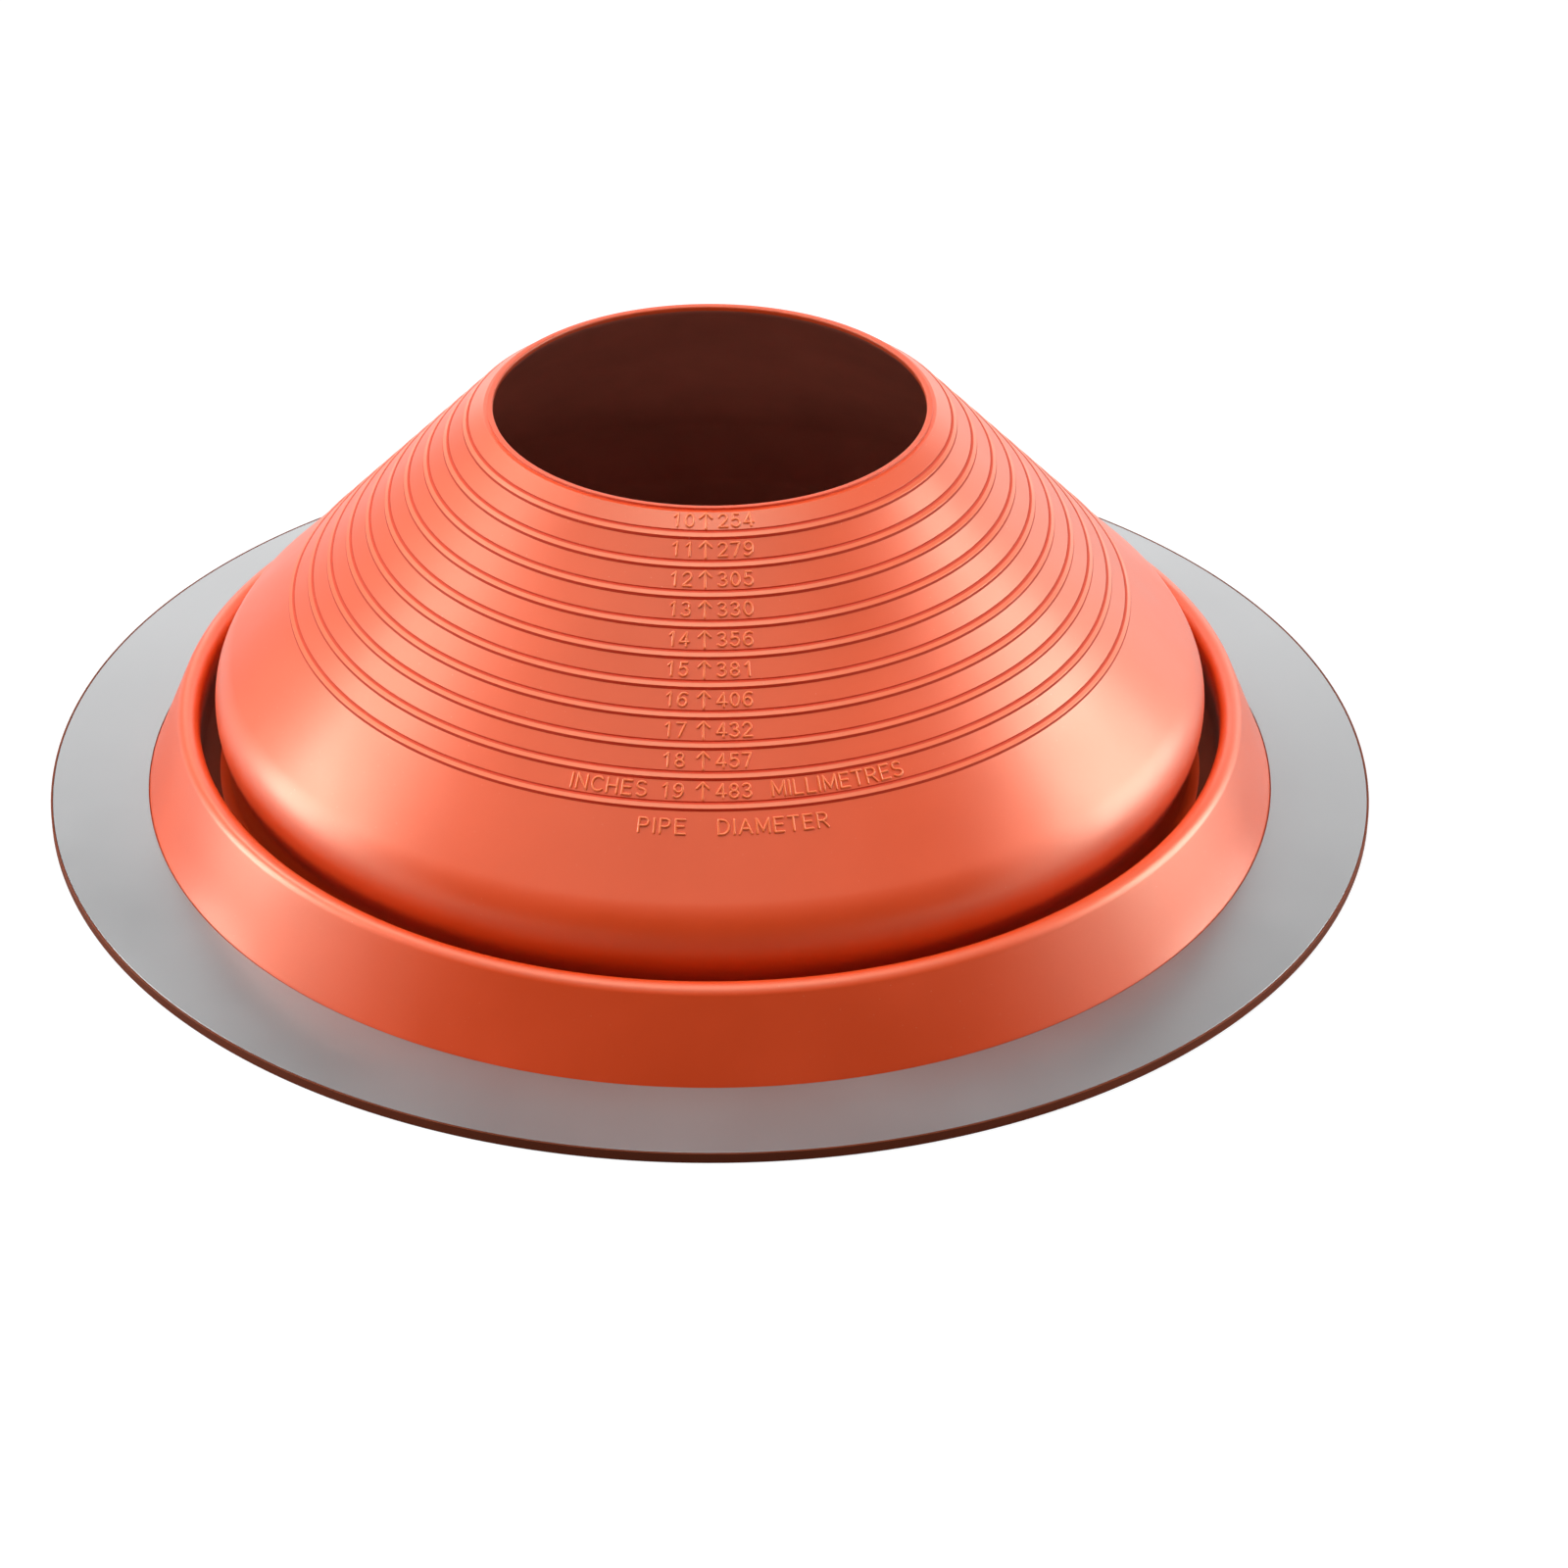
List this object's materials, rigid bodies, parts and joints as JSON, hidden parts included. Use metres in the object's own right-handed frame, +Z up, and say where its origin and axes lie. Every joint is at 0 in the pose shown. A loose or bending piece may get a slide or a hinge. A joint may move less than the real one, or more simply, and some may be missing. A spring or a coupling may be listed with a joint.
{
  "type": "pipe flashing boot",
  "caption": "Round moulded rubber boot that seals a pipe at a roof: a ringed cone with a gripping lip, a folded trough, a raised collar and a flat aluminium flange.",
  "frame": {"origin": "on the axis, in the plane of the flange's underside", "axes": "+Z up along the pipe's axis, from the flange to the gripping lip; +X to the right and -Y to the front of the picture"},
  "size_m": [0.6449, 0.645, 0.2],
  "materials": {
    "silicone": "satin moulded orange silicone",
    "aluminium": "satin rolled sheet"
  },
  "bodies": {
    "root": {"silicone_boot": "silicone", "aluminium_flange": "aluminium"}
  },
  "joints": []
}
